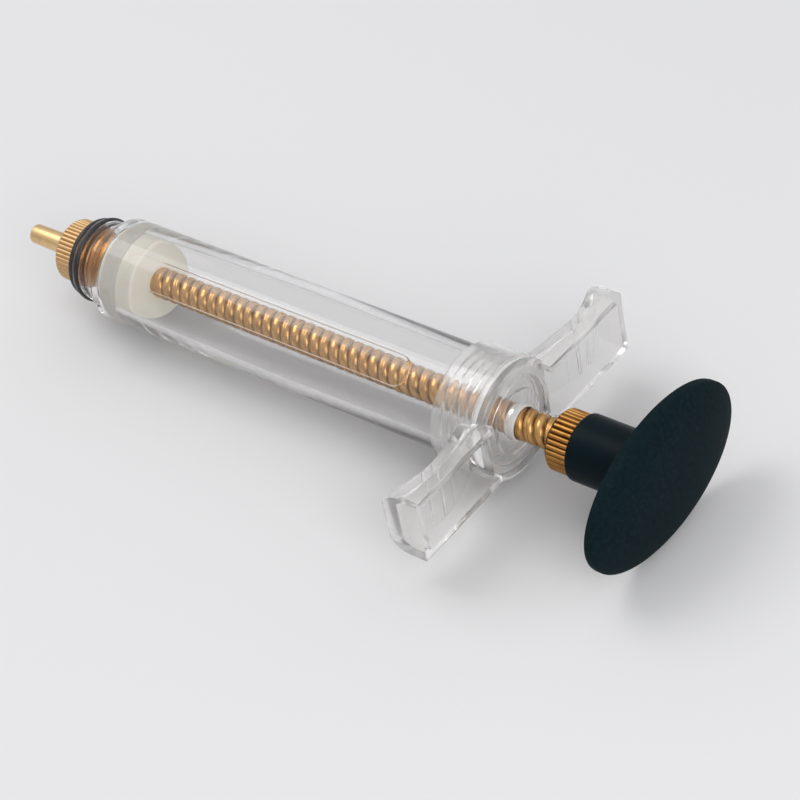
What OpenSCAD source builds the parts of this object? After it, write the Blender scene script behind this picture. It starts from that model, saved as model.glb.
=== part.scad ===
// Reusable dosing syringe: clear barrel with a winged screw cap, brass nozzle,
// brass threaded rod with a dose nut, nylon piston and an oval thumb knob.
// The axis of the barrel is +X, from the nozzle tip at the origin to the knob.
// The finger wings reach out along +Y and -Y, and +Z is up.

/* [Nozzle] */
// Diameter of the spigot that takes the needle or cannula hub
spigot_d = 4.4; // [4:0.1:4.8]
// Length of the spigot in front of the knurled hub
spigot_len = 11.9; // [8:0.1:14]
// Diameter of the passage through the nozzle
passage_d = 1.8; // [1:0.1:2.4]
// Diameter of the knurled hub
nozzle_hub_d = 13.6; // [13:0.1:14.4]
// Length of the knurled hub
nozzle_hub_len = 5.7; // [4:0.1:8]
// Number of straight knurls round the nozzle hub
nozzle_knurls = 44; // [24:1:48]

/* [Barrel] */
// Outer diameter of the barrel
barrel_d = 22; // [21:0.1:22]
// Bore of the barrel
bore_d = 18.4; // [18:0.1:18.6]
// Length of the barrel behind its shoulder
barrel_len = 100.1; // [86:0.1:110]
// Outer diameter of the neck in front of the shoulder
neck_d = 17.8; // [17:0.1:18]
// Length of the neck
neck_len = 6.9; // [6.9:0.1:10]
// Thickness of the front wall of the chamber
front_wall = 1.2; // [0.8:0.1:2]
// Length of the raised scale panel
panel_len = 75; // [50:1:78]
// Width of the raised scale panel
panel_w = 6.6; // [5:0.1:8]
// Turn of the scale panel from the top, towards the -Y wing
panel_turn = 36; // [0:1:90]

/* [Winged cap] */
// Outer diameter of the cap
cap_d = 25.2; // [25:0.1:27]
// Length of the cap
cap_len = 12.2; // [11:0.1:13]
// Reach of each finger wing from the axis
wing_reach = 33.7; // [32:0.1:38]
// Height of the wings
wing_h = 14.4; // [12:0.1:16]
// Thickness of the ribs and web of the wings
wing_wall = 1.6; // [1.2:0.1:2]
// Radius of the round corners at the front of each wing's tip
tip_corner_r = 5; // [1:0.1:5.4]
// Grip ridges on the front face of each wing
grip_ridges = 3; // [0:1:3]

/* [Plunger] */
// Outer diameter of the rod's thread
rod_d = 6.6; // [6:0.1:6.8]
// Lead of the rod's thread
rod_lead = 5; // [4:0.5:6]
// Depth of the rod's thread
thread_depth = 0.6; // [0.4:0.05:0.8]
// Diameter of the dose nut
nut_d = 12.6; // [11:0.1:13]
// Length of the dose nut
nut_len = 5.2; // [4:0.1:7]
// Number of straight knurls round the dose nut
nut_knurls = 34; // [24:1:44]
// Diameter of the knob's hub
knob_hub_d = 13.6; // [12.6:0.1:14]
// Length of the knob's hub
knob_hub_len = 15.95; // [14:0.05:18]
// Length of the oval pad, along the wings
pad_long = 46.8; // [40:0.1:52]
// Height of the oval pad
pad_high = 30.2; // [28:0.1:36]
// Radius of the pad's round ends
pad_end_r = 9; // [7:0.1:12]
// Thickness of the pad's rim at its long ends
rim_t = 1.6; // [1:0.1:2.4]
// Rise of the pad's dome behind its rim
dome_rise = 3.8; // [2:0.1:6]

/* [Hidden] */
fit = 0.05;                  // radial clearance of sliding and turning fits
seat = 0.03;                 // radial clearance of parts that are pressed or screwed home
face_gap = 0.05;             // gap between faces of parts that move apart
round_fn = 96;
dome_fn = 400;               // the dome is a small cap of a large sphere

spigot_chamfer = 0.25;
hub_x = spigot_len;
hub_rear_x = hub_x + nozzle_hub_len;
oring_t = 1.6;               // section of the nozzle's sealing ring
neck_x = hub_rear_x + oring_t;
shoulder_x = neck_x + neck_len;
chamber_x = shoulder_x + front_wall;
barrel_end_x = shoulder_x + barrel_len;
neck_bore_r = 6.45;
shank_r = neck_bore_r - seat;
neck_groove_x = neck_x + 0.4;
neck_ring_t = 1.4;           // section of the ring on the neck
neck_ring_r = 8.6;           // middle radius of the ring on the neck

gasket_t = 1;
web_x = barrel_end_x + gasket_t;
cap_rear_x = web_x + 2.3;
cap_x = cap_rear_x - cap_len;
cap_bore_r = 11.65;
cap_ridge_r = barrel_d / 2 + 0.06;
wing_rear_x = cap_rear_x + 1.7;
bush_r = 3.8;
bush_x = cap_rear_x - 1.1;
bush_proud = 1.2;            // how far the bush stands out of the cap
rod_hole_r = 3.5;

disc_x = chamber_x + 0.1;    // front face of the piston
disc_t = 0.8;
seal_x = disc_x + disc_t;
seal_len = 4.2;
body_x = seal_x + seal_len;
body_len = 4.1;
piston_rear_x = body_x + body_len;
piston_r = bore_d / 2 - fit;
journal_r = 2;
pocket_r = 4.2;              // pocket for the piston nut
pocket_depth = 2.25;
piston_nut_flats = 6;
piston_nut_t = 2;
piston_nut_x = disc_x + pocket_depth - face_gap - piston_nut_t;

rod_r = rod_d / 2;
rod_shoulder_x = piston_rear_x + face_gap;
thread_x = rod_shoulder_x + 1.5;
nut_x = cap_rear_x + 9.9;
knob_x = nut_x + nut_len + face_gap;
pad_x = knob_x + knob_hub_len;
rod_end_x = knob_x + 12.5;
thread_turns = floor((knob_x - 0.4 - thread_x) / rod_lead);
insert_r = 4.8;

// Turns a shape drawn round +Z so that it lies along +X and starts at x.
module along_x(x = 0) {
    translate([x, 0, 0])
        rotate([0, 90, 0])
            children();
}

// A solid of revolution round the X axis. Its points are [radius, x].
module turned(points) {
    along_x()
        rotate_extrude($fn = round_fn)
            polygon(points);
}

// A plain ring from x0 to x1.
module ring(x0, x1, r_out, r_in) {
    turned([[r_in, x0], [r_out, x0], [r_out, x1], [r_in, x1]]);
}

// A rubber ring of round section.
module round_ring(x, middle_r, section_d) {
    along_x(x)
        rotate_extrude($fn = round_fn)
            translate([middle_r, 0])
                circle(d = section_d, $fn = 32);
}

// A cylinder with straight knurls, chamfered at its front edge.
module knurled(x, len, r, count, depth, chamfer) {
    half_land = 0.2;
    tooth = 360 / count;
    intersection() {
        along_x(x)
            linear_extrude(len)
                polygon([for (i = [0 : count - 1], k = [-1, 1, 0])
                    let (a = (i + (k == 0 ? 0.5 : k * half_land)) * tooth,
                         rr = k == 0 ? r - depth : r)
                    [rr * cos(a), rr * sin(a)]]);
        turned([[0, x], [r - chamfer, x], [r + 0.1, x + chamfer + 0.1], [r + 0.1, x + len], [0, x + len]]);
    }
}

// Points of one thread lead on the rod: a broad crest, a fine ridge and a second crest.
function lead_points(x, r, depth, lead) = [
    [r - depth, x],
    [r, x + 0.08 * lead],
    [r, x + 0.40 * lead],
    [r - depth, x + 0.48 * lead],
    [r - 0.2 * depth, x + 0.54 * lead],
    [r - 0.6 * depth, x + 0.60 * lead],
    [r, x + 0.66 * lead],
    [r, x + 0.92 * lead]
];

module barrel() {
    lip = 0.3;
    edge = 0.9;
    groove_r = neck_ring_r - neck_ring_t / 2;
    neck_r = neck_d / 2;
    barrel_r = barrel_d / 2;
    color([0.86, 0.87, 0.88, 0.4]) {
        turned([
            [neck_bore_r, neck_x],
            [neck_r - lip, neck_x],
            [neck_r, neck_x + lip],
            [neck_r, neck_groove_x],
            [groove_r, neck_groove_x],
            [groove_r, neck_groove_x + neck_ring_t],
            [neck_r, neck_groove_x + neck_ring_t],
            [neck_r, shoulder_x],
            [barrel_r - edge, shoulder_x],
            [barrel_r - 0.3 * edge, shoulder_x + 0.3 * edge],
            [barrel_r, shoulder_x + edge],
            [barrel_r, barrel_end_x],
            [bore_d / 2, barrel_end_x],
            [bore_d / 2, chamber_x],
            [neck_bore_r, chamber_x]
        ]);
        scale_panel();
    }
}

// A long panel with round ends, raised a little from the barrel's surface.
module scale_panel() {
    proud = 0.3;
    sink = 0.6;
    panel_x = shoulder_x + 8.2;
    intersection() {
        ring(panel_x, panel_x + panel_len, barrel_d / 2 + proud, barrel_d / 2 - sink);
        rotate([panel_turn, 0, 0])
            linear_extrude(barrel_d)
                for (s = [0, 1])
                    union() {
                        translate([panel_x + panel_w / 2, -panel_w / 2])
                            square([panel_len - panel_w, panel_w]);
                        translate([panel_x + panel_w / 2 + s * (panel_len - panel_w), 0])
                            circle(d = panel_w, $fn = 48);
                    }
    }
}

module nozzle() {
    spigot_r = spigot_d / 2;
    passage_r = passage_d / 2;
    hub_r = nozzle_hub_d / 2;
    ridge_pitch = 1.5;
    ridge_depth = 0.5;
    ridges = 4;
    shank_x = neck_x + 0.7;
    color([0.80, 0.62, 0.36])
        difference() {
            union() {
                turned([
                    [0, 0],
                    [spigot_r - spigot_chamfer, 0],
                    [spigot_r, spigot_chamfer],
                    [spigot_r, hub_x],
                    [spigot_r, hub_x + 0.5],
                    [0, hub_x + 0.5]
                ]);
                knurled(hub_x, nozzle_hub_len, hub_r, nozzle_knurls, 0.35, 0.6);
                turned(concat(
                    [[0, hub_rear_x - 1], [shank_r, hub_rear_x - 1], [shank_r, shank_x]],
                    [for (i = [0 : ridges - 1], p = [[ridge_depth, 0.2], [ridge_depth, 0.5], [0, 0.8], [0, 1.2]])
                        [shank_r - p[0], shank_x + i * ridge_pitch + p[1]]],
                    [[shank_r - ridge_depth, shoulder_x + 0.6], [0, shoulder_x + 0.6]]
                ));
            }
            along_x(-1)
                cylinder(r = passage_r, h = shoulder_x + 4, $fn = 48);
        }
}

module nozzle_oring() {
    color([0.07, 0.07, 0.08])
        round_ring(hub_rear_x + oring_t / 2, 7.9, oring_t);
}

module neck_ring() {
    color([0.07, 0.07, 0.08])
        round_ring(neck_groove_x + neck_ring_t / 2, neck_ring_r, neck_ring_t);
}

// Plan of one wing, drawn for the +Y side. inset pulls every edge inwards.
module wing_plan(inset) {
    root_y = 9.5;
    front_root = 7.6;
    front_mid = 4.5;
    front_tip = 8.4;
    mid_y = 0.68 * wing_reach;
    sweep = 12;
    // The front edge follows a smooth curve that is thinnest at mid_y.
    function front(y) = y < mid_y
        ? front_mid + (front_root - front_mid) * pow((mid_y - y) / (mid_y - root_y), 1.6)
        : front_mid + (front_tip - front_mid) * pow((y - mid_y) / (wing_reach - mid_y), 2.2);
    end_y = wing_reach - inset;
    polygon(concat(
        [[wing_rear_x + (inset > 0 ? 1 : 0), root_y],
         [wing_rear_x + (inset > 0 ? 1 : 0), end_y]],
        [for (i = [sweep : -1 : 0])
            let (y = root_y + (end_y - root_y) * i / sweep)
            [wing_rear_x - front(y) + inset, y]]
    ));
}

// End view of a wing: flat at the rear, with round corners at the front of its tip.
module wing_end(inset) {
    reach = 9;
    high = wing_h / 2 - inset;
    rear = wing_rear_x + (inset > 0 ? 1 : 0);
    corner_r = min(tip_corner_r, high);
    corner_x = wing_rear_x - reach + inset + corner_r;
    translate([corner_x, -high])
        square([rear - corner_x, 2 * high]);
    translate([corner_x - corner_r, corner_r - high])
        square([corner_r + 1, 2 * (high - corner_r)]);
    for (s = [-1, 1])
        translate([corner_x, s * (high - corner_r)])
            circle(r = corner_r, $fn = 48);
}

// The space of one wing, with every wall pulled in by inset.
module wing_shape(inset) {
    high = wing_h / 2 - inset;
    intersection() {
        translate([0, 0, -high])
            linear_extrude(2 * high)
                wing_plan(inset);
        rotate([90, 0, 0])
            translate([0, 0, -wing_reach - 1])
                linear_extrude(wing_reach + 2)
                    wing_end(inset);
    }
}

// One wing: a trough that is open to the rear, with ridges on its front face.
module wing() {
    ridge_step = 3;
    difference() {
        wing_shape(0);
        wing_shape(wing_wall);
    }
    for (i = [0 : 1 : grip_ridges - 1])
        translate([wing_rear_x - 4.5, 19.5 + i * ridge_step, -wing_h / 2])
            cylinder(r = 0.45, h = wing_h, $fn = 24);
}

module winged_cap() {
    ridges = 6;
    ridge_pitch = 1.5;
    color([0.84, 0.84, 0.86, 0.45])
        difference() {
            union() {
                turned([
                    [0, cap_x],
                    [cap_d / 2 - 0.6, cap_x],
                    [cap_d / 2, cap_x + 0.6],
                    [cap_d / 2, cap_rear_x - 1],
                    [cap_d / 2 - 0.3, cap_rear_x - 0.3],
                    [cap_d / 2 - 1, cap_rear_x],
                    [0, cap_rear_x]
                ]);
                wing();
                mirror([0, 1, 0])
                    wing();
            }
            turned(concat(
                [[0, cap_x - 1], [cap_bore_r, cap_x - 1], [cap_bore_r, cap_x + 0.4]],
                [for (i = [0 : ridges - 1], p = [[1, 0.3], [1, 0.6], [0, 0.9], [0, 1.4]])
                    [p[0] == 1 ? cap_ridge_r : cap_bore_r, cap_x + 0.6 + i * ridge_pitch + p[1]]],
                [[cap_ridge_r, web_x], [0, web_x]]
            ));
            ring(cap_rear_x - 0.7, cap_rear_x + 3, 9.2, 6.6);
            along_x(cap_x)
                cylinder(r = rod_hole_r, h = cap_len + 3, $fn = round_fn);
            along_x(bush_x)
                cylinder(r = bush_r + seat, h = 4, $fn = round_fn);
        }
}

module cap_gasket() {
    color([0.80, 0.80, 0.79])
        ring(barrel_end_x, web_x, barrel_d / 2, bore_d / 2);
}

module rod_bush() {
    color([0.92, 0.92, 0.90])
        ring(bush_x, cap_rear_x + bush_proud, bush_r, rod_r + fit);
}

module piston_disc() {
    hub_r = 6;
    color([0.88, 0.86, 0.78])
        turned([
            [pocket_r, disc_x],
            [piston_r - 0.5, disc_x],
            [piston_r - 0.2, disc_x + 0.3],
            [piston_r - 0.2, seal_x],
            [hub_r, seal_x],
            [hub_r, body_x],
            [journal_r + fit, body_x],
            [journal_r + fit, disc_x + pocket_depth],
            [pocket_r, disc_x + pocket_depth]
        ]);
}

module piston_seal() {
    color([0.80, 0.78, 0.72])
        ring(seal_x, body_x, piston_r, 6 + seat);
}

module piston_body() {
    edge = 0.4;
    color([0.91, 0.89, 0.81])
        turned([
            [journal_r + fit, body_x],
            [piston_r - 0.05, body_x],
            [piston_r - 0.05, piston_rear_x - edge],
            [piston_r - 0.05 - edge, piston_rear_x],
            [journal_r + fit, piston_rear_x]
        ]);
}

module piston_nut() {
    color([0.80, 0.62, 0.36])
        difference() {
            along_x(piston_nut_x)
                cylinder(d = piston_nut_flats / cos(30), h = piston_nut_t, $fn = 6);
            along_x(piston_nut_x - 1)
                cylinder(r = journal_r + seat, h = piston_nut_t + 2, $fn = 48);
        }
}

module rod() {
    color([0.78, 0.58, 0.32])
        turned(concat(
            [[0, piston_nut_x], [journal_r, piston_nut_x], [journal_r, rod_shoulder_x],
             [rod_r - thread_depth, rod_shoulder_x]],
            [for (i = [0 : thread_turns - 1], p = lead_points(thread_x + i * rod_lead, rod_r, thread_depth, rod_lead))
                p],
            [[rod_r - thread_depth, thread_x + thread_turns * rod_lead],
             [rod_r, thread_x + thread_turns * rod_lead + 0.3],
             [rod_r, rod_end_x],
             [0, rod_end_x]]
        ));
}

module dose_nut() {
    color([0.82, 0.62, 0.32])
        difference() {
            knurled(nut_x, nut_len, nut_d / 2, nut_knurls, 0.4, 0.7);
            along_x(nut_x - 1)
                cylinder(r = rod_r + fit, h = nut_len + 2, $fn = round_fn);
        }
}

// The outline of the pad: two flat arcs and two round ends that meet smoothly.
module pad_outline() {
    a = pad_long / 2;
    b = pad_high / 2;
    end_y = a - pad_end_r;
    flat_r = (end_y * end_y + b * b - pad_end_r * pad_end_r) / (2 * (b - pad_end_r));
    flat_x = flat_r - b;
    join_y = flat_r * end_y / (flat_r - pad_end_r);
    intersection() {
        translate([-flat_x, 0])
            circle(r = flat_r, $fn = round_fn);
        translate([flat_x, 0])
            circle(r = flat_r, $fn = round_fn);
        square([2 * b, 2 * join_y], center = true);
    }
    for (s = [-1, 1])
        translate([0, s * end_y])
            circle(r = pad_end_r, $fn = round_fn);
}

// The pad: its outline cut from a low round dome.
module pad() {
    reach = pad_long / 2;
    dome_r = (reach * reach + dome_rise * dome_rise) / (2 * dome_rise);
    intersection() {
        along_x(pad_x)
            linear_extrude(rim_t + dome_rise + 1)
                pad_outline();
        translate([pad_x + rim_t + dome_rise - dome_r, 0, 0])
            sphere(r = dome_r, $fn = dome_fn);
    }
}

module knob() {
    edge = 0.5;
    hub_r = knob_hub_d / 2;
    color([0.06, 0.10, 0.11])
        difference() {
            union() {
                turned([
                    [0, knob_x],
                    [hub_r - edge, knob_x],
                    [hub_r, knob_x + edge],
                    [hub_r, pad_x],
                    [0, pad_x]
                ]);
                pad();
            }
            along_x(knob_x - 1)
                cylinder(r = insert_r + seat, h = rod_end_x - knob_x + 1, $fn = round_fn);
        }
}

module knob_insert() {
    color([0.80, 0.62, 0.36])
        ring(knob_x + 0.3, rod_end_x, insert_r, rod_r + seat);
}

barrel();
nozzle();
nozzle_oring();
neck_ring();
winged_cap();
cap_gasket();
rod_bush();
piston_disc();
piston_seal();
piston_body();
piston_nut();
rod();
dose_nut();
knob();
knob_insert();
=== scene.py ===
import math

import bmesh
import bpy
import numpy as np
from mathutils import Matrix, Vector


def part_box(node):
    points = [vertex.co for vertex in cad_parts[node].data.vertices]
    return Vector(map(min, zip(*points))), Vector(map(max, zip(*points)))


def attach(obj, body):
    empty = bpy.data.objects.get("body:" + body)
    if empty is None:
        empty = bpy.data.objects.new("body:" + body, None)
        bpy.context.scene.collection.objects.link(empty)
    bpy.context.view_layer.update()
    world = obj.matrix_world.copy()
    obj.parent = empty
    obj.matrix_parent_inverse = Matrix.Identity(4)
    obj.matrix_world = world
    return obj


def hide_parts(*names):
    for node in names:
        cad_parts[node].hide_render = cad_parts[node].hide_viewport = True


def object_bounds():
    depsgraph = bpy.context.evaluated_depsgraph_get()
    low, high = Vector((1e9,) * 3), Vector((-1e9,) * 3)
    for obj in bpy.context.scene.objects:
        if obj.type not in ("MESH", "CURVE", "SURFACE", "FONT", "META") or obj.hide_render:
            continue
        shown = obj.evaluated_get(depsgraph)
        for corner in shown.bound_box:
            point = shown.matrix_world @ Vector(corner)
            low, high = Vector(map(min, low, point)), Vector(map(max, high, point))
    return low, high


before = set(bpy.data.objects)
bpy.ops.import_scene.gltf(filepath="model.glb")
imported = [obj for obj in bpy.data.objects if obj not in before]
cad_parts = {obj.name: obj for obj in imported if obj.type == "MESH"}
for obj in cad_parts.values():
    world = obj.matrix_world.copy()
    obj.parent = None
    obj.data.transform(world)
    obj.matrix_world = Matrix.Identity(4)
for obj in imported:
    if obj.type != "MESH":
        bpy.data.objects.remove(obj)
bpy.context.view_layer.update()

MM = 0.001
ROUND = 160                      # segments round a turned piece


# ---------------------------------------------------------------- sizes, in millimetres

def span(node):
    """First and last place of a part along the syringe, in millimetres."""
    low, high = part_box(node)
    return low.x / MM, high.x / MM


def radius(node):
    """Outer radius of a round part, in millimetres."""
    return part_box(node)[1].z / MM


BARREL_R = 11.0
BORE_R = 9.2
NECK_R = 8.9
NECK_BORE_R = 6.45
NECK_X, BARREL_END = span("barrel")
SHOULDER_X = NECK_X + 6.9
CHAMBER_X = SHOULDER_X + 1.2
CAP_X, WING_REAR = span("winged_cap")
CAP_REAR = WING_REAR - 1.7
CAP_R = radius("winged_cap")
NOZZLE_HUB_X = 11.9
NOZZLE_HUB_REAR = NOZZLE_HUB_X + 5.7
NOZZLE_HUB_R = radius("nozzle")
ROD_R = radius("rod")
ROD_X, ROD_END = span("rod")
PISTON_REAR = span("piston_body")[1]
NUT_X, NUT_REAR = span("dose_nut")
NUT_R = radius("dose_nut")
KNOB_X, KNOB_REAR = span("knob")
PAD_HALF_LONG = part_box("knob")[1].y / MM
PAD_HALF_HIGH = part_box("knob")[1].z / MM
WING_H = 14.4
WING_WALL = 1.6
WING_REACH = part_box("winged_cap")[1].y / MM


# ---------------------------------------------------------------- camera

CAMERA_PLACE = (0.3946, -0.2914, 0.3546)
CAMERA_AIM = (0.1049, -0.0059, 0.0)
CAMERA_ROLL = -12.1              # degrees
CAMERA_LENS = 124.4              # millimetres, on a sensor 36 mm wide


def add_camera():
    """The camera looks down the syringe from above its knob."""
    camera = bpy.data.objects.new("camera", bpy.data.cameras.new("camera"))
    bpy.context.scene.collection.objects.link(camera)
    look = Vector(CAMERA_AIM) - Vector(CAMERA_PLACE)
    turn = look.to_track_quat("-Z", "Y").to_matrix().to_4x4()
    roll = Matrix.Rotation(math.radians(CAMERA_ROLL), 4, "Z")
    camera.matrix_world = Matrix.Translation(CAMERA_PLACE) @ turn @ roll
    camera.data.lens = CAMERA_LENS
    camera.data.sensor_width = 36
    camera.data.clip_start = 0.01
    camera.data.clip_end = 20
    bpy.context.scene.camera = camera


# ---------------------------------------------------------------- shader arithmetic

def put(tree, socket, value):
    """Connects a Wire to a socket, or sets the socket's own value."""
    if isinstance(value, Wire):
        tree.links.new(value.socket, socket)
    else:
        socket.default_value = value


class Wire:
    """One output in a node tree. Arithmetic on it adds Math nodes."""

    def __init__(self, tree, socket):
        self.tree = tree
        self.socket = socket

    @classmethod
    def node(cls, tree, kind, settings=None, inputs=None, output=0):
        """Adds a node, sets it up, connects its sockets and returns one of its outputs."""
        made = tree.nodes.new(kind)
        for name, value in (settings or {}).items():
            if name == "curve":
                set_curve(made.mapping, value)
            else:
                setattr(made, name, value)
        for key, value in (inputs or {}).items():
            put(tree, made.inputs[key], value)
        return cls(tree, made.outputs[output])

    def maths(self, operation, *others, first=None):
        terms = ([] if first is None else [first]) + [self] + list(others)
        return Wire.node(self.tree, "ShaderNodeMath", {"operation": operation}, dict(enumerate(terms)))

    def __add__(self, other):
        return self.maths("ADD", other)

    def __sub__(self, other):
        return self.maths("SUBTRACT", other)

    def __mul__(self, other):
        return self.maths("MULTIPLY", other)

    def __truediv__(self, other):
        return self.maths("DIVIDE", other)

    def __pow__(self, other):
        return self.maths("POWER", other)

    def __rsub__(self, other):
        return self.maths("SUBTRACT", first=other)

    def __rtruediv__(self, other):
        return self.maths("DIVIDE", first=other)

    __radd__ = __add__
    __rmul__ = __mul__

    def axes(self):
        """The X, Y and Z of a vector."""
        first = Wire.node(self.tree, "ShaderNodeSeparateXYZ", {}, {0: self})
        return [Wire(self.tree, socket) for socket in first.socket.node.outputs]

    def clamp(self):
        return Wire.node(self.tree, "ShaderNodeClamp", {}, {"Value": self})

    def ramp(self, low, high):
        """0 below low, 1 above high, and a smooth rise between them."""
        settings = {"interpolation_type": "SMOOTHSTEP"}
        return Wire.node(self.tree, "ShaderNodeMapRange", settings,
                         {"Value": self, "From Min": low, "From Max": high})


def set_curve(mapping, points):
    """Gives a float curve its (place, height) points, joined by smooth bends."""
    curve = mapping.curves[0]
    while len(curve.points) > 2:
        curve.points.remove(curve.points[1])
    curve.points[0].location = points[0]
    curve.points[1].location = points[-1]
    for place, height in points[1:-1]:
        curve.points.new(place, height)
    mapping.update()


def mix_color(tree, factor, a, b):
    """A colour between a and b."""
    return Wire.node(tree, "ShaderNodeMix", {"data_type": "RGBA"},
                     {"Factor": factor, 6: a, 7: b}, output=2)


# ---------------------------------------------------------------- materials

# BRIGHT_BRASS is the crests' colour. DEEP_BRASS is the grooves' brown, which is partly tarnish and partly
# painted shade.
BRIGHT_BRASS = (0.62, 0.355, 0.13, 1)
DEEP_BRASS = (0.085, 0.026, 0.005, 1)


def new_material(name, roughness=0.5, metallic=0.0, **constants):
    """A material with one Principled shader. Returns it, its tree and its shader."""
    material = bpy.data.materials.new(name)
    material.use_nodes = True
    tree = material.node_tree
    shader = tree.nodes["Principled BSDF"]
    shader.inputs["Roughness"].default_value = roughness
    shader.inputs["Metallic"].default_value = metallic
    for socket, value in constants.items():
        shader.inputs[socket.replace("_", " ")].default_value = value
    return material, tree, shader


def place(tree, scale=(1, 1, 1)):
    """The place on the piece, in millimetres, stretched by scale."""
    coordinates = Wire.node(tree, "ShaderNodeTexCoord", output="Object")
    size = tuple(s / MM for s in scale)
    return Wire.node(tree, "ShaderNodeMapping", {}, {"Vector": coordinates, "Scale": size})


def noise(tree, scale, size=1.0, detail=3.0, rough=0.5):
    """Noise from 0 to 1. size is its cell size in the stretched millimetres."""
    return Wire.node(tree, "ShaderNodeTexNoise", {},
                     {"Vector": place(tree, scale), "Scale": 1 / size, "Detail": detail, "Roughness": rough})


def axis_distance(tree):
    """Distance from the syringe's axis, in millimetres."""
    _, y, z = place(tree).axes()
    return (y * y + z * z) ** 0.5


def along(tree):
    """Distance behind the nozzle's tip, in millimetres."""
    return place(tree).axes()[0]


def bump(tree, shader, height, distance):
    """Raises the surface by height times distance, in millimetres."""
    settings = {"Height": height, "Distance": distance * MM, "Strength": 1.0}
    normal = Wire.node(tree, "ShaderNodeBump", {}, settings)
    put(tree, shader.inputs["Normal"], normal)


def clear_plastic(name, tint, ior=1.45, haze=0.02, wave=0.004, milk=0.05):
    """Clear moulded plastic with a slight waviness and fine handling marks.

    haze is its roughness, wave the depth of its waviness in millimetres, and milk how far it is from clear.
    """
    material, tree, shader = new_material(name, Transmission_Weight=1 - milk, IOR=ior, Base_Color=tint)
    marks = noise(tree, (0.4, 3, 3), size=0.8, detail=5)
    put(tree, shader.inputs["Roughness"], haze + marks.ramp(0.5, 0.8) * 0.05)
    bump(tree, shader, noise(tree, (0.12, 0.5, 0.5), size=1.0, detail=1), wave)
    return material


def brass(name, bright, deep, outer, depth, rough=0.26):
    """Turned brass: bright on its crests, browner in its grooves, with fine tool marks round it. The brown in
    the grooves is partly tarnish and partly painted shade.

    outer is the radius of the crests and depth how far below them the brown is full, in millimetres.
    """
    material, tree, shader = new_material(name, metallic=1.0, roughness=rough)
    # Painted shade, partly tarnish: the deeper a point lies in a groove, the closer its colour goes to deep.
    # The noise patches are random tarnish.
    groove = ((outer - axis_distance(tree)) / depth).clamp()
    patches = noise(tree, (1, 1, 1), size=2.2, detail=4)
    tarnish_and_painted_shade = (groove * 0.75 + patches.ramp(0.45, 0.8) * 0.35).clamp()
    put(tree, shader.inputs["Base Color"], mix_color(tree, tarnish_and_painted_shade, bright, deep))
    rings = noise(tree, (9, 0.25, 0.25), size=1.0, detail=2)
    put(tree, shader.inputs["Roughness"], rough + groove * 0.12 + rings * 0.10)
    bump(tree, shader, rings, 0.012)
    return material


def black_rubber():
    """Satin black rubber with a faint bloom."""
    material, tree, shader = new_material("black_rubber", Specular_IOR_Level=0.45)
    bloom = noise(tree, (1, 1, 1), size=1.6, detail=4)
    black, grey = (0.010, 0.010, 0.012, 1), (0.030, 0.030, 0.034, 1)
    put(tree, shader.inputs["Base Color"], mix_color(tree, bloom.ramp(0.4, 0.75), black, grey))
    put(tree, shader.inputs["Roughness"], 0.30 + bloom * 0.15)
    bump(tree, shader, noise(tree, (1, 1, 1), size=0.25), 0.006)
    return material


def nylon(name, light, shade, rough=0.42, glow=0.0, end=None):
    """Turned nylon: slightly translucent, with fine rings from the lathe.

    glow is a painted glow: emission that stands in for light passed through the nylon. end, where given, is
    where along the syringe a cut face lies, in
    millimetres: the face is painted paler and gets a stronger painted glow than the rest, as if it were more
    brightly lit.
    """
    # Painted glow: the emission gives the nylon light of its own, in its light colour.
    material, tree, shader = new_material(
        name, Subsurface_Weight=0.25, Subsurface_Scale=0.001, IOR=1.5,
        Emission_Color=light, Emission_Strength=glow)
    cloud = noise(tree, (1, 1, 1), size=3.0, detail=3)
    color = mix_color(tree, cloud.ramp(0.3, 0.75), light, shade)
    if end is not None:
        # Painted light on the cut face: its colour is painted paler, and it glows more than the sides, which
        # keep a dimmer painted glow.
        painted_face_gain, painted_side_glow = 1.18, 0.3
        cut = along(tree).ramp(end - 0.5, end - 0.1)
        pale = tuple(min(1.0, painted_face_gain * c) for c in light)
        painted_side_glow_color = tuple(painted_side_glow * c for c in light)
        color = mix_color(tree, cut, color, pale)
        put(tree, shader.inputs["Emission Color"], mix_color(tree, cut, painted_side_glow_color, pale))
    put(tree, shader.inputs["Base Color"], color)
    rings = noise(tree, (8, 0.3, 0.3), size=1.0, detail=2)
    put(tree, shader.inputs["Roughness"], rough + rings * 0.1)
    bump(tree, shader, rings, 0.010)
    return material


def knob_plastic():
    """Dark green-black plastic: a smooth satin hub and a finely grained matt pad."""
    material, tree, shader = new_material("knob_plastic", Specular_IOR_Level=0.07)
    hub_end, pad_start = KNOB_X + 14.5, KNOB_X + 16.2
    on_pad = along(tree).ramp(hub_end, pad_start)
    grain = noise(tree, (1, 1, 1), size=0.34, detail=3, rough=0.6)
    specks = noise(tree, (1, 1, 1), size=0.9, detail=5, rough=0.7)
    hub_color = (0.0008, 0.0060, 0.0090, 1)
    pad_dark, pad_light = (0.0012, 0.0075, 0.0100, 1), (0.0042, 0.0145, 0.0180, 1)
    pad_color = mix_color(tree, specks.ramp(0.35, 0.75), pad_dark, pad_light)
    put(tree, shader.inputs["Base Color"], mix_color(tree, on_pad, hub_color, pad_color))
    put(tree, shader.inputs["Roughness"], 0.38 + on_pad * 0.30 + specks * 0.06)
    bump(tree, shader, (grain + specks * 0.6) * on_pad, 0.07)
    return material


# ---------------------------------------------------------------- meshes

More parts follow.
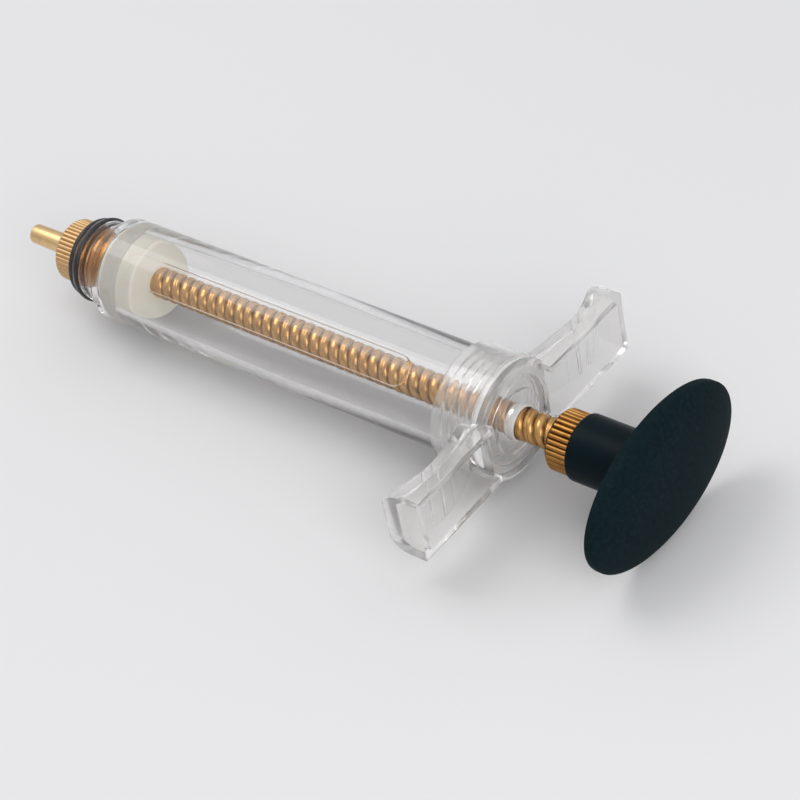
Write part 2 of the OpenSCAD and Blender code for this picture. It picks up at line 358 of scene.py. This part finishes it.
def finish_mesh(name, points, faces, material, smooth=40):
    """Makes the object of a finished mesh given in millimetres."""
    mesh = bpy.data.meshes.new(name)
    mesh.from_pydata([tuple(c * MM for c in p) for p in points], [], faces)
    mesh.update()
    piece = bpy.data.objects.new(name, mesh)
    bpy.context.scene.collection.objects.link(piece)
    mesh.materials.append(material)
    shade(piece, smooth)
    return piece


def shade(piece, angle):
    """Shades the piece smoothly, except across edges sharper than angle."""
    mesh = piece.data
    mesh.polygons.foreach_set("use_smooth", [True] * len(mesh.polygons))
    mesh.set_sharp_from_angle(angle=math.radians(angle))


def stand_for(piece, body, slot, *nodes):
    """The piece moves with a body and stands for CAD nodes, which are hidden. slot is not used."""
    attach(piece, body)
    if nodes:
        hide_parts(*nodes)


def rounded(outline, closed):
    """Rounds the corners of an outline of (x, radius, corner radius) points."""
    rounded_points = []
    count = len(outline)
    for i, (x, r, corner) in enumerate(outline):
        here = np.array([x, r])
        at_end = not closed and i in (0, count - 1)
        if corner == 0 or at_end:
            rounded_points.append(here)
            continue
        before = np.array(outline[i - 1][:2]) - here
        after = np.array(outline[(i + 1) % count][:2]) - here
        to_before = before / np.linalg.norm(before)
        to_after = after / np.linalg.norm(after)
        half = 0.5 * math.acos(np.clip(np.dot(to_before, to_after), -1, 1))
        reach = min(corner / math.tan(half), 0.49 * np.linalg.norm(before), 0.49 * np.linalg.norm(after))
        size = reach * math.tan(half)
        middle = (to_before + to_after) / np.linalg.norm(to_before + to_after)
        centre = here + middle * size / math.sin(half)
        start = here + to_before * reach - centre
        end = here + to_after * reach - centre
        steps = 5                    # straight parts in a round corner
        sweep = math.pi - 2 * half
        for k in range(steps + 1):
            t = k / steps
            a = math.sin((1 - t) * sweep) / math.sin(sweep)
            b = math.sin(t * sweep) / math.sin(sweep)
            rounded_points.append(centre + a * start + b * end)
    return rounded_points


def divided(points, step, closed):
    """Adds points along an outline's straight parts, so that none is longer than step."""
    result = []
    last = len(points) if closed else len(points) - 1
    for i in range(last):
        a, b = points[i], points[(i + 1) % len(points)]
        parts = max(1, math.ceil(np.linalg.norm(b - a) / step))
        result += [a + (b - a) * k / parts for k in range(parts)]
    if not closed:
        result.append(points[-1])
    return result


def revolve(name, outline, material, closed=True, step=50.0, segments=ROUND, smooth=40,
            shape=None, angles=None):
    """Turns an outline round the X axis.

    outline holds (x, radius, corner radius) points in millimetres. A closed outline makes a ring. An open
    one starts and ends on the axis. step is the longest that a straight part may be. shape(x, radius, angle)
    may return another (y, z) for a point. angles, where given, are the turns of the outline in place of
    even ones.
    """
    stations = divided(rounded(outline, closed), step, closed)
    if angles is None:
        angles = 2 * np.pi * np.arange(segments) / segments
    segments = len(angles)
    points, rings = [], []
    for x, r in stations:
        if r < 1e-9:
            rings.append([len(points)])
            points.append((x, 0.0, 0.0))
            continue
        rings.append(list(range(len(points), len(points) + segments)))
        for angle in angles:
            y, z = (r * math.cos(angle), r * math.sin(angle)) if shape is None else shape(x, r, angle)
            points.append((x, y, z))
    faces = []
    pairs = list(zip(rings, rings[1:] + rings[:1])) if closed else list(zip(rings, rings[1:]))
    for a, b in pairs:
        for k in range(segments):
            n = (k + 1) % segments
            if len(a) == 1:
                faces.append((a[0], b[n], b[k]))
            elif len(b) == 1:
                faces.append((a[k], a[n], b[0]))
            else:
                faces.append((a[k], a[n], b[n], b[k]))
    piece = finish_mesh(name, points, faces, material, smooth)
    face_out(piece)
    return piece


def face_out(piece):
    """Makes every face of a closed mesh point outwards."""
    work = bmesh.new()
    work.from_mesh(piece.data)
    bmesh.ops.remove_doubles(work, verts=work.verts, dist=1e-7)
    bmesh.ops.recalc_face_normals(work, faces=work.faces)
    work.to_mesh(piece.data)
    work.free()


# ---------------------------------------------------------------- teeth, knurls and threads

def start_tree(name, inputs):
    """A Geometry Nodes tree with inputs of given kinds and one Piece output. Returns it and its inputs."""
    tree = bpy.data.node_groups.new(name, "GeometryNodeTree")
    for label, kind in inputs.items():
        tree.interface.new_socket(name=label, in_out="INPUT", socket_type="NodeSocket" + kind)
    tree.interface.new_socket(name="Piece", in_out="OUTPUT", socket_type="NodeSocketGeometry")
    given = tree.nodes.new("NodeGroupInput")
    return tree, {socket.name: Wire(tree, socket) for socket in given.outputs if socket.name}


def end_tree(tree, shape, finish):
    """Gives the tree's shape its material and sends it out as one mesh."""
    whole = Wire.node(tree, "GeometryNodeRealizeInstances", {}, {"Geometry": shape})
    done = Wire.node(tree, "GeometryNodeSetMaterial", {}, {"Geometry": whole, "Material": finish})
    put(tree, tree.nodes.new("NodeGroupOutput").inputs["Piece"], done)


def apply_tree(piece, tree, values):
    """Runs a tree on a piece and turns the result into the piece's mesh."""
    modifier = piece.modifiers.new(tree.name, "NODES")
    modifier.node_group = tree
    for item in tree.interface.items_tree:
        if item.in_out == "INPUT" and item.name in values:
            modifier[item.identifier] = values[item.name]
    bake(piece)


def teeth_tree(name, tooth):
    """A Geometry Nodes tree that cuts teeth round the X axis into a turned blank.

    Count teeth go round the blank, and Rate teeth go by in each metre along it, so straight knurls have a
    rate of 0 and a thread has a count of its starts. tooth is the depth over one tooth, from 0 to 1.
    """
    numbers = ("Outer Radius", "Depth", "Count", "Rate", "Start", "End", "Fade")
    kinds = {"Blank": "Geometry", **{label: "Float" for label in numbers}, "Finish": "Material"}
    tree, wire = start_tree(name, kinds)
    x, y, z = Wire.node(tree, "GeometryNodeInputPosition").axes()
    distance = (y * y + z * z) ** 0.5
    turn = z.maths("ARCTAN2", y) / (2 * math.pi)
    phase = (wire["Count"] * turn + wire["Rate"] * x).maths("FRACT")
    depth = Wire.node(tree, "ShaderNodeFloatCurve", {"curve": tooth}, {"Value": phase})
    start, end, fade = wire["Start"], wire["End"], wire["Fade"]
    inside = x.ramp(start, start + fade) * (1 - x.ramp(end - fade, end))
    floor = wire["Outer Radius"] - wire["Depth"] * depth * inside
    scale = distance.maths("MINIMUM", floor) / distance.maths("MAXIMUM", 1e-6)
    moved = Wire.node(tree, "ShaderNodeCombineXYZ", {}, {"X": x, "Y": y * scale, "Z": z * scale})
    cut = Wire.node(tree, "GeometryNodeSetPosition", {}, {"Geometry": wire["Blank"], "Position": moved})
    end_tree(tree, cut, wire["Finish"])
    return tree


def cut_teeth(blank, tree, material, outer, depth, count, rate, start, end, fade=0.01):
    """Cuts a blank with a teeth tree. Sizes are in millimetres."""
    apply_tree(blank, tree, {
        "Outer Radius": outer * MM, "Depth": depth * MM, "Count": float(count), "Rate": rate / MM,
        "Start": start * MM, "End": end * MM, "Fade": fade * MM, "Finish": material})


# ---------------------------------------------------------------- the pieces

def make_barrel(material):
    """The clear barrel: a grooved neck, the tube with its raised scale panel, and a thread under the cap."""
    panel_x0, panel_x1, panel_half = SHOULDER_X + 8.2, SHOULDER_X + 83.2, 3.3
    proud, edge = 0.3, 0.2           # how far the panel stands out, and the width of its sloping edge
    turned = math.radians(90 + 36)   # where round the barrel the panel's middle is
    fine, coarse = math.radians(0.5), math.radians(2.5)
    fine_half = math.radians(20)     # half the stretch round the barrel that is meshed finely
    angles = np.concatenate([np.arange(turned - fine_half, turned + fine_half, fine),
                             np.arange(turned + fine_half, turned + 2 * math.pi - fine_half - 1e-6, coarse)])

    def with_panel(x, r, angle):
        if r > BARREL_R - 0.05:
            across = ((angle - turned + math.pi) % (2 * math.pi) - math.pi) * BARREL_R
            past = max(panel_x0 + panel_half - x, x - panel_x1 + panel_half, 0)
            inset = panel_half - math.hypot(across, past)
            t = min(max(inset / edge, 0), 1)
            r += proud * t * t * (3 - 2 * t)
        return r * math.cos(angle), r * math.sin(angle)

    def stations(x0, x1, step):
        """Outline points on the tube's wall, about a step apart."""
        count = max(1, round((x1 - x0) / step))
        return [(x0 + (x1 - x0) * k / count, BARREL_R, 0) for k in range(count)]

    thread_x = CAP_X + 0.8
    groove_x0, groove_x1, groove_r = NECK_X + 0.4, NECK_X + 1.8, 7.9
    outline = [
        (NECK_X, NECK_BORE_R, 0.2), (NECK_X, NECK_R, 0.25),
        (groove_x0, NECK_R, 0.1), (groove_x0, groove_r, 0.1),
        (groove_x1, groove_r, 0.1), (groove_x1, NECK_R, 0.1),
        (SHOULDER_X, NECK_R, 0.3), (SHOULDER_X, BARREL_R, 0.9)]
    outline += stations(SHOULDER_X + 2, panel_x0 - 0.5, 1.5)
    round_end = panel_half + 0.5
    outline += stations(panel_x0 - 0.5, panel_x0 + round_end, 0.16)
    outline += stations(panel_x0 + round_end, panel_x1 - round_end, 2.5)
    outline += stations(panel_x1 - round_end, panel_x1 + 0.5, 0.16)
    outline += stations(panel_x1 + 0.5, thread_x, 1.5)
    outline += stations(thread_x, BARREL_END - 0.2, 0.12)
    outline += [
        (BARREL_END, BARREL_R, 0.15), (BARREL_END, BORE_R, 0.15),
        (CHAMBER_X, BORE_R, 0.4), (CHAMBER_X, NECK_BORE_R, 0.2)]
    barrel = revolve("barrel_tube", outline, material, smooth=28, shape=with_panel, angles=angles)
    thread = teeth_tree("barrel_thread", [(0, 0), (0.35, 0), (0.5, 1), (0.8, 1), (1, 0)])
    thread_depth, turns_per_mm = 0.5, 0.55
    cut_teeth(barrel, thread, material, BARREL_R + proud, thread_depth + proud, 1, -turns_per_mm,
              thread_x, BARREL_END - 0.3, fade=0.6)
    shade(barrel, 28)
    stand_for(barrel, "barrel", "clear_barrel", "barrel")


def make_nozzle():
    """The brass nozzle: a tapered spigot, a knurled hub and a threaded shank, with a passage through it."""
    shank_r = NECK_BORE_R - 0.03
    spigot_r, spigot_root_r = 2.32, 2.7
    passage_r = 0.9
    hub_brass = brass("nozzle_brass", (0.58, 0.385, 0.195, 1), (0.46, 0.25, 0.09, 1),
                      NOZZLE_HUB_R, 0.45, rough=0.32)
    spigot_brass = brass("spigot_brass", (0.76, 0.54, 0.28, 1), (0.55, 0.34, 0.14, 1), 2.3, 0.6)
    shank_brass = brass("shank_brass", (0.46, 0.19, 0.020, 1), (0.07, 0.020, 0.002, 1),
                        shank_r, 0.5, rough=0.28)
    knurls = 44
    hub = revolve("nozzle_hub", [
        (NOZZLE_HUB_X, 1.5, 0), (NOZZLE_HUB_X, NOZZLE_HUB_R - 0.55, 0.1),
        (NOZZLE_HUB_X + 0.55, NOZZLE_HUB_R, 0.1), (NOZZLE_HUB_REAR, NOZZLE_HUB_R, 0.15),
        (NOZZLE_HUB_REAR, 1.5, 0)], hub_brass, step=0.35, segments=knurls * 8)
    tree = teeth_tree("straight_knurl", [(0, 0.9), (0.2, 0.25), (0.36, 0), (0.64, 0), (0.8, 0.25), (1, 0.9)])
    cut_teeth(hub, tree, hub_brass, NOZZLE_HUB_R, 0.30, knurls, 0, NOZZLE_HUB_X - 1, NOZZLE_HUB_REAR + 1)
    shade(hub, 50)
    stand_for(hub, "barrel", "brass")

    spigot = revolve("nozzle_spigot", [
        (0, passage_r, 0.15), (0, spigot_r - 0.2, 0.3), (NOZZLE_HUB_X - 0.4, spigot_r, 0),
        (NOZZLE_HUB_X, spigot_root_r, 0), (NOZZLE_HUB_X + 0.3, spigot_root_r, 0),
        (NOZZLE_HUB_X + 0.3, passage_r, 0)], spigot_brass, step=1.0)
    stand_for(spigot, "barrel", "brass")

    shank = revolve("nozzle_shank", [
        (NOZZLE_HUB_REAR - 0.1, passage_r, 0), (NOZZLE_HUB_REAR - 0.1, shank_r, 0),
        (SHOULDER_X + 0.6, shank_r, 0.4), (SHOULDER_X + 0.6, passage_r, 0)],
        shank_brass, step=0.12, segments=96)
    thread = teeth_tree("nozzle_thread", [(0, 1), (0.2, 0.1), (0.35, 0), (0.65, 0), (0.8, 0.1), (1, 1)])
    turns_per_mm = 0.7
    cut_teeth(shank, thread, shank_brass, shank_r, 0.55, 1, -turns_per_mm, NECK_X + 0.4, SHOULDER_X, fade=0.5)
    shade(shank, 50)
    stand_for(shank, "barrel", "brass", "nozzle")


def make_ring(name, node, material, slot):
    """A rubber ring of round section."""
    x0, x1 = span(node)
    section = (x1 - x0) / 2
    middle = radius(node) - section
    sides = 28
    outline = [(x0 + section + section * math.cos(2 * math.pi * k / sides),
                middle + section * math.sin(2 * math.pi * k / sides), 0) for k in range(sides)]
    stand_for(revolve(name, outline, material, smooth=60), "barrel", slot, node)


def prism(name, outline, low, high, material, along_y=False):
    """A solid between two levels whose plan is an outline of (x, y) points, or of (x, z) points along Y."""
    count = len(outline)
    points = [(a, level, b) if along_y else (a, b, level) for level in (low, high) for a, b in outline]
    faces = [tuple(range(count)), tuple(range(2 * count - 1, count - 1, -1))]
    faces += [(k, k + count, (k + 1) % count + count, (k + 1) % count) for k in range(count)]
    piece = finish_mesh(name, points, faces, material)
    face_out(piece)
    return piece


def soften(piece, width, angle=32):
    """Rounds the edges of a piece."""
    rounding = piece.modifiers.new("rounding", "BEVEL")
    rounding.width = width * MM
    rounding.segments = 3
    rounding.limit_method = "ANGLE"
    rounding.angle_limit = math.radians(angle)
    bake(piece)


def bake(piece):
    """Turns a piece's modifiers into its mesh."""
    bpy.context.view_layer.update()
    solid = bpy.data.meshes.new_from_object(piece.evaluated_get(bpy.context.evaluated_depsgraph_get()))
    piece.modifiers.clear()
    piece.data = solid


def combine(piece, operation, *tools):
    """Joins tools to a piece, cuts them out of it or keeps what they share, and removes them."""
    for tool in tools:
        modifier = piece.modifiers.new("combine", "BOOLEAN")
        modifier.operation = operation
        modifier.solver = "EXACT"
        modifier.object = tool
        bake(piece)
        bpy.data.objects.remove(tool)


def wing_plan(side, inset, rear):
    """Outline of a wing seen from above. inset pulls its front and its tip inwards."""
    root, waist = 9.5, 0.68 * WING_REACH
    waist_depth, root_flare, tip_flare = 4.5, 3.1, 3.9
    end = WING_REACH - inset
    steps = 26

    def depth(y):
        """How far the front face lies before the rear one."""
        if y < waist:
            return waist_depth + root_flare * ((waist - y) / (waist - root)) ** 1.6
        return waist_depth + tip_flare * ((y - waist) / (WING_REACH - waist)) ** 2.2

    front = [root + (end - root) * k / steps for k in range(steps, -1, -1)]
    outline = [(rear, root), (rear, end)] + [(WING_REAR - depth(y) + inset, y) for y in front]
    return [(x, side * y) for x, y in outline]


def wing_end(inset, rear):
    """End view of a wing: flat at the rear, with round corners at the front of its tip."""
    high = WING_H / 2 - inset
    corner = 5.0
    front = WING_REAR - 9 + inset
    steps = 10
    arc = [math.pi / 2 * k / steps for k in range(steps + 1)]
    lower = [(front + corner * (1 - math.sin(a)), -high + corner * (1 - math.cos(a))) for a in arc]
    upper = [(x, -z) for x, z in reversed(lower)]
    return [(rear, -high)] + lower + upper + [(rear, high)]


def wing_solid(side, inset, rear, material):
    """The solid of a wing, or of its trough when inset is the wall's thickness."""
    high = WING_H / 2 - inset
    wing = prism("wing", wing_plan(side, inset, rear), -high, high, material)
    reach = WING_REACH + 1
    combine(wing, "INTERSECT", prism("tip", wing_end(inset, rear), -reach, reach, material, along_y=True))
    soften(wing, 0.45)
    return wing


def grip_ridges(material):
    """Raised ridges across the front face of each wing, placed along it by a Geometry Nodes tree."""
    count, first_y, gap = 3, 19.5, 3
    ridge_r, ridge_x = 0.36, WING_REAR - 4.5
    half = WING_H / 2 - 0.7
    tree, wire = start_tree("grip_ridges", {"Ridge": "Geometry", "Count": "Int", "Start": "Vector",
                                            "Step": "Vector", "Finish": "Material"})
    line = Wire.node(tree, "GeometryNodeMeshLine", {},
                     {"Count": wire["Count"], "Start Location": wire["Start"], "Offset": wire["Step"]})
    ridges = Wire.node(tree, "GeometryNodeInstanceOnPoints", {}, {"Points": line, "Instance": wire["Ridge"]})
    end_tree(tree, ridges, wire["Finish"])
    sides = 20
    turns = [2 * math.pi * k / sides for k in range(sides)]
    circle = [(ridge_r * math.cos(t), ridge_r * math.sin(t)) for t in turns]
    made = []
    for side in (-1, 1):
        ridge = prism("grip_ridge", circle, -half, half, material)
        soften(ridge, 0.2, angle=60)
        apply_tree(ridge, tree, {"Count": count, "Start": (ridge_x * MM, side * first_y * MM, 0),
                                 "Step": (0, side * gap * MM, 0), "Finish": material})
        made.append(ridge)
    return made


def make_cap(material):
    """The winged cap: a round screw cap with a finger wing on each side, open to the rear."""
    cap = revolve("cap_with_wings", [
        (CAP_X, 0, 0), (CAP_X, CAP_R, 0.7), (CAP_REAR, CAP_R, 1.2), (CAP_REAR, 0, 0)], material, closed=False)
    for side in (-1, 1):
        combine(cap, "UNION", wing_solid(side, 0, WING_REAR, material))
    for side in (-1, 1):
        combine(cap, "DIFFERENCE", wing_solid(side, WING_WALL, WING_REAR + 1, material))
    bore, seat_r = 11.65, 11.06
    web_x = CAP_REAR - 2.3
    rod_hole_r = 3.5
    recess_x, recess_r0, recess_r1 = CAP_REAR - 0.7, 6.6, 9.2
    bush_x, bush_r = span("rod_bush")[0], radius("rod_bush") + 0.03
    hollow = revolve("hollow", [
        (CAP_X - 1, 0, 0), (CAP_X - 1, bore, 0), (web_x - 1, bore, 0.3), (web_x - 1, seat_r, 0),
        (web_x, seat_r, 0.3), (web_x, 0, 0)], material, closed=False)
    recess = revolve("recess", [
        (recess_x, recess_r0, 0.2), (recess_x, recess_r1, 0.2), (CAP_REAR + 3, recess_r1, 0),
        (CAP_REAR + 3, recess_r0, 0)], material)
    hole = revolve("hole", [
        (web_x - 1, 0, 0), (web_x - 1, rod_hole_r, 0), (bush_x, rod_hole_r, 0), (bush_x, bush_r, 0),
        (CAP_REAR + 1, bush_r, 0), (CAP_REAR + 1, 0, 0)], material, closed=False)
    combine(cap, "DIFFERENCE", hollow, recess, hole)
    combine(cap, "UNION", *grip_ridges(material))
    shade(cap, 32)
    stand_for(cap, "barrel", "clear_cap", "winged_cap")


def make_bush(material):
    """The white bush that guides the rod through the cap."""
    x0, x1 = span("rod_bush")
    outer = radius("rod_bush")
    outline = [(x0, ROD_R + 0.05, 0.1), (x0, outer, 0.1), (x1, outer, 0.2), (x1, ROD_R + 0.05, 0.1)]
    stand_for(revolve("rod_guide_bush", outline, material), "barrel", "white_nylon", "rod_bush")


def make_piston():
    """The piston: a front disc, the seal round it and the body behind."""
    # The cream nylon has a painted glow, and its rear face at PISTON_REAR is painted paler and glows more, as
    # if more brightly lit.
    cream = nylon("cream_nylon", (0.80, 0.77, 0.665, 1), (0.75, 0.72, 0.61, 1), glow=0.16, end=PISTON_REAR)
    seal = nylon("seal_rubber", (0.66, 0.63, 0.57, 1), (0.56, 0.535, 0.48, 1), rough=0.5)
    disc_x, disc_end = span("piston_disc")
    seal_x, seal_end = span("piston_seal")
    body_x, body_end = span("piston_body")
    bore = 2.05
    core_r, disc_r, body_r = 6, 8.95, 9.1
    seal_r = BORE_R + 0.04           # the seal's squeeze makes it bear on the barrel
    nut_pocket_x, nut_pocket_r = disc_x + 2.25, 4.2
    disc = revolve("piston_front_disc", [
        (disc_x, nut_pocket_r, 0.1), (disc_x, disc_r, 0.3), (seal_x, disc_r, 0.05), (seal_x, core_r, 0.05),
        (disc_end, core_r, 0.1), (disc_end, bore, 0), (nut_pocket_x, bore, 0),
        (nut_pocket_x, nut_pocket_r, 0.1)], cream)
    stand_for(disc, "piston", "cream_nylon", "piston_disc")
    ring = revolve("piston_seal_ring", [
        (seal_x, core_r + 0.03, 0), (seal_x, seal_r, 0.35), (seal_end, seal_r, 0.35),
        (seal_end, core_r + 0.03, 0)], seal, step=0.5)
    stand_for(ring, "piston", "seal_rubber", "piston_seal")
    body = revolve("piston_rear_body", [
        (body_x, bore, 0), (body_x, body_r, 0.15), (body_end, body_r, 0.9), (body_end, bore, 0)],
        cream, step=0.8)
    stand_for(body, "piston", "cream_nylon", "piston_body")


def make_rod():
    """The brass rod: a plain pin in the piston, then a coarse thread of rounded crests."""
    material = brass("rod_brass", BRIGHT_BRASS, DEEP_BRASS, ROD_R, 0.6, rough=0.20)
    shoulder = PISTON_REAR + 0.05
    lead = 5.0
    pin_r = 2
    rod = revolve("threaded_rod", [
        (ROD_X, 0, 0), (ROD_X, pin_r, 0.3), (shoulder, pin_r, 0), (shoulder, ROD_R, 0.3),
        (ROD_END, ROD_R, 0.3), (ROD_END, 0, 0)], material, closed=False, step=0.14, segments=64, smooth=60)
    split_crest = [(0, 1), (0.03, 0.7), (0.08, 0.32), (0.14, 0.1), (0.21, 0.02), (0.25, 0.2), (0.29, 0.02),
                   (0.36, 0.1), (0.42, 0.32), (0.47, 0.7)]
    round_crest = [(0.50, 1), (0.53, 0.7), (0.58, 0.32), (0.65, 0.1), (0.75, 0), (0.85, 0.1),
                   (0.92, 0.32), (0.97, 0.7), (1, 1)]
    thread = teeth_tree("rod_thread", split_crest + round_crest)
    cut_teeth(rod, thread, material, ROD_R, 0.62, -1, 1 / lead, shoulder + 0.6, KNOB_X + 0.2, fade=1.0)
    shade(rod, 60)
    stand_for(rod, "plunger", "brass", "rod")


def make_dose_nut():
    """The knurled brass nut that stops the rod at the set dose."""
    material = brass("nut_brass", (0.39, 0.19, 0.050, 1), (0.08, 0.028, 0.005, 1), NUT_R, 0.45, rough=0.24)
    knurls = 34
    nut = revolve("dose_stop_nut", [
        (NUT_X, ROD_R + 0.05, 0.2), (NUT_X, NUT_R - 0.8, 0.15), (NUT_X + 0.8, NUT_R, 0.15),
        (NUT_REAR, NUT_R, 0.2), (NUT_REAR, ROD_R + 0.05, 0.1)], material, step=0.35, segments=knurls * 8)
    tree = teeth_tree("nut_knurl", [(0, 1), (0.2, 0.3), (0.34, 0), (0.66, 0), (0.8, 0.3), (1, 1)])
    cut_teeth(nut, tree, material, NUT_R, 0.45, knurls, 0, NUT_X - 1, NUT_REAR + 1)
    shade(nut, 50)
    stand_for(nut, "dose_nut", "brass", "dose_nut")


def make_knob(material):
    """The knob: a round hub that spreads into an oval pad with a low dome."""
    hub_r = 6.8
    pad_x = KNOB_X + 15.95
    rim = 1.6
    pocket_r = 4.83
    long_r, high_r = PAD_HALF_LONG, PAD_HALF_HIGH
    rise = KNOB_REAR - pad_x - rim

    def oval(x, r, angle):
        """Circles on the hub, which stretch to the pad's oval across its front, and ovals behind that."""
        if x > pad_x + rim * 0.5:
            return r * math.cos(angle), r * math.sin(angle) * high_r / long_r
        spread = max(0.0, (r - hub_r) / (long_r - hub_r)) if x > pad_x - 2 else 0.0
        high = hub_r + spread * (high_r - hub_r) if spread > 0 else r
        return r * math.cos(angle), high * math.sin(angle)

    outline = [
        (ROD_END, 0, 0), (ROD_END, pocket_r, 0), (KNOB_X, pocket_r, 0.1), (KNOB_X, hub_r, 0.5),
        (pad_x - 0.2, hub_r, 0), (pad_x - 0.2, hub_r + 0.01, 0), (pad_x, long_r - 0.4, 0),
        (pad_x + 0.15, long_r - 0.1, 0), (pad_x + 0.5, long_r, 0)]
    steps = 28
    for k in range(steps + 1):
        turn = 0.5 * math.pi * k / steps
        outline.append((pad_x + rim + rise * math.sin(turn) ** 1.15, long_r * math.cos(turn) ** 0.85, 0))
    outline[-1] = (KNOB_REAR, 0, 0)
    knob = revolve("thumb_knob", outline, material, closed=False, step=1.2, smooth=45, shape=oval)
    stand_for(knob, "plunger", "knob_plastic", "knob")


def make_gasket():
    """The pale silicone gasket between the barrel's end and the cap."""
    # The gasket's nylon has a faint painted glow.
    material = nylon("gasket_silicone", (0.86, 0.855, 0.85, 1), (0.80, 0.795, 0.79, 1), rough=0.5, glow=0.08)
    x0, x1 = span("cap_gasket")
    gap = 0.03
    low, high = BORE_R + gap, BARREL_R - gap
    outline = [(x0 + gap, low, 0.2), (x0 + gap, high, 0.2), (x1 - gap, high, 0.2), (x1 - gap, low, 0.2)]
    stand_for(revolve("cap_gasket_ring", outline, material), "barrel", "silicone", "cap_gasket")


def finish_hidden_parts():
    """The parts that keep their CAD shape get their material."""
    material = brass("fitting_brass", BRIGHT_BRASS, DEEP_BRASS, 5.0, 1.0)
    for node in ("piston_nut", "knob_insert"):
        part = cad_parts[node]
        part.data.materials.clear()
        part.data.materials.append(material)


# ---------------------------------------------------------------- floor and light

def make_floor():
    """A wide pale floor under the syringe."""
    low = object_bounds()[0].z / MM
    half = 3000
    corners = [(-half, -half, low), (half, -half, low), (half, half, low), (-half, half, low)]
    pale = (0.645, 0.643, 0.645, 1)
    material = new_material("pale_floor", roughness=0.9, Specular_IOR_Level=0.0, Base_Color=pale)[0]
    finish_mesh("floor", corners, [(0, 1, 2, 3)], material)


def add_area(name, place_at, aim, size, power):
    """A soft area light."""
    light = bpy.data.lights.new(name, "AREA")
    light.shape = "RECTANGLE"
    light.size, light.size_y = size
    light.energy = power
    lamp = bpy.data.objects.new(name, light)
    bpy.context.scene.collection.objects.link(lamp)
    look = Vector(aim) - Vector(place_at)
    lamp.matrix_world = Matrix.Translation(place_at) @ look.to_track_quat("-Z", "Y").to_matrix().to_4x4()


def light_scene():
    """A bright surround that is brightest overhead, two soft lights and enough bounces for clear plastic."""
    world = bpy.data.worlds.new("studio")
    bpy.context.scene.world = world
    world.use_nodes = True
    tree = world.node_tree
    background = tree.nodes["Background"]
    background.inputs["Color"].default_value = (0.975, 0.98, 1.0, 1)
    direction = Wire.node(tree, "ShaderNodeTexCoord", output="Generated")
    even, overhead = 0.56, 0.36
    height = direction.axes()[2]
    put(tree, background.inputs["Strength"], even + height.ramp(0.0, 0.9) * overhead)
    add_area("key", (-0.33, -0.05, 0.72), (0.08, 0, 0), (0.5, 0.45), 2.1)
    add_area("fill", (0.75, -0.35, 0.45), (0.05, 0, 0), (0.5, 0.5), 3.0)
    cycles = bpy.context.scene.cycles
    cycles.max_bounces = 32
    cycles.glossy_bounces = 24
    cycles.transmission_bounces = 24


bpy.context.scene.view_settings.view_transform = "Standard"
add_camera()
clear_barrel = clear_plastic("clear_barrel", (0.955, 0.95, 0.95, 1), ior=1.38, haze=0.005, milk=0.01)
clear_cap = clear_plastic("clear_cap", (0.955, 0.945, 0.935, 1), haze=0.09, wave=0.02, milk=0.10)
rubber = black_rubber()
make_barrel(clear_barrel)
make_nozzle()
make_ring("nozzle_seal_ring", "nozzle_oring", rubber, "black_rubber")
make_ring("neck_seal_ring", "neck_ring", rubber, "black_rubber")
make_cap(clear_cap)
make_bush(nylon("white_nylon", (0.68, 0.67, 0.65, 1), (0.60, 0.59, 0.57, 1)))
make_piston()
make_rod()
make_dose_nut()
make_knob(knob_plastic())
make_gasket()
finish_hidden_parts()
make_floor()
light_scene()
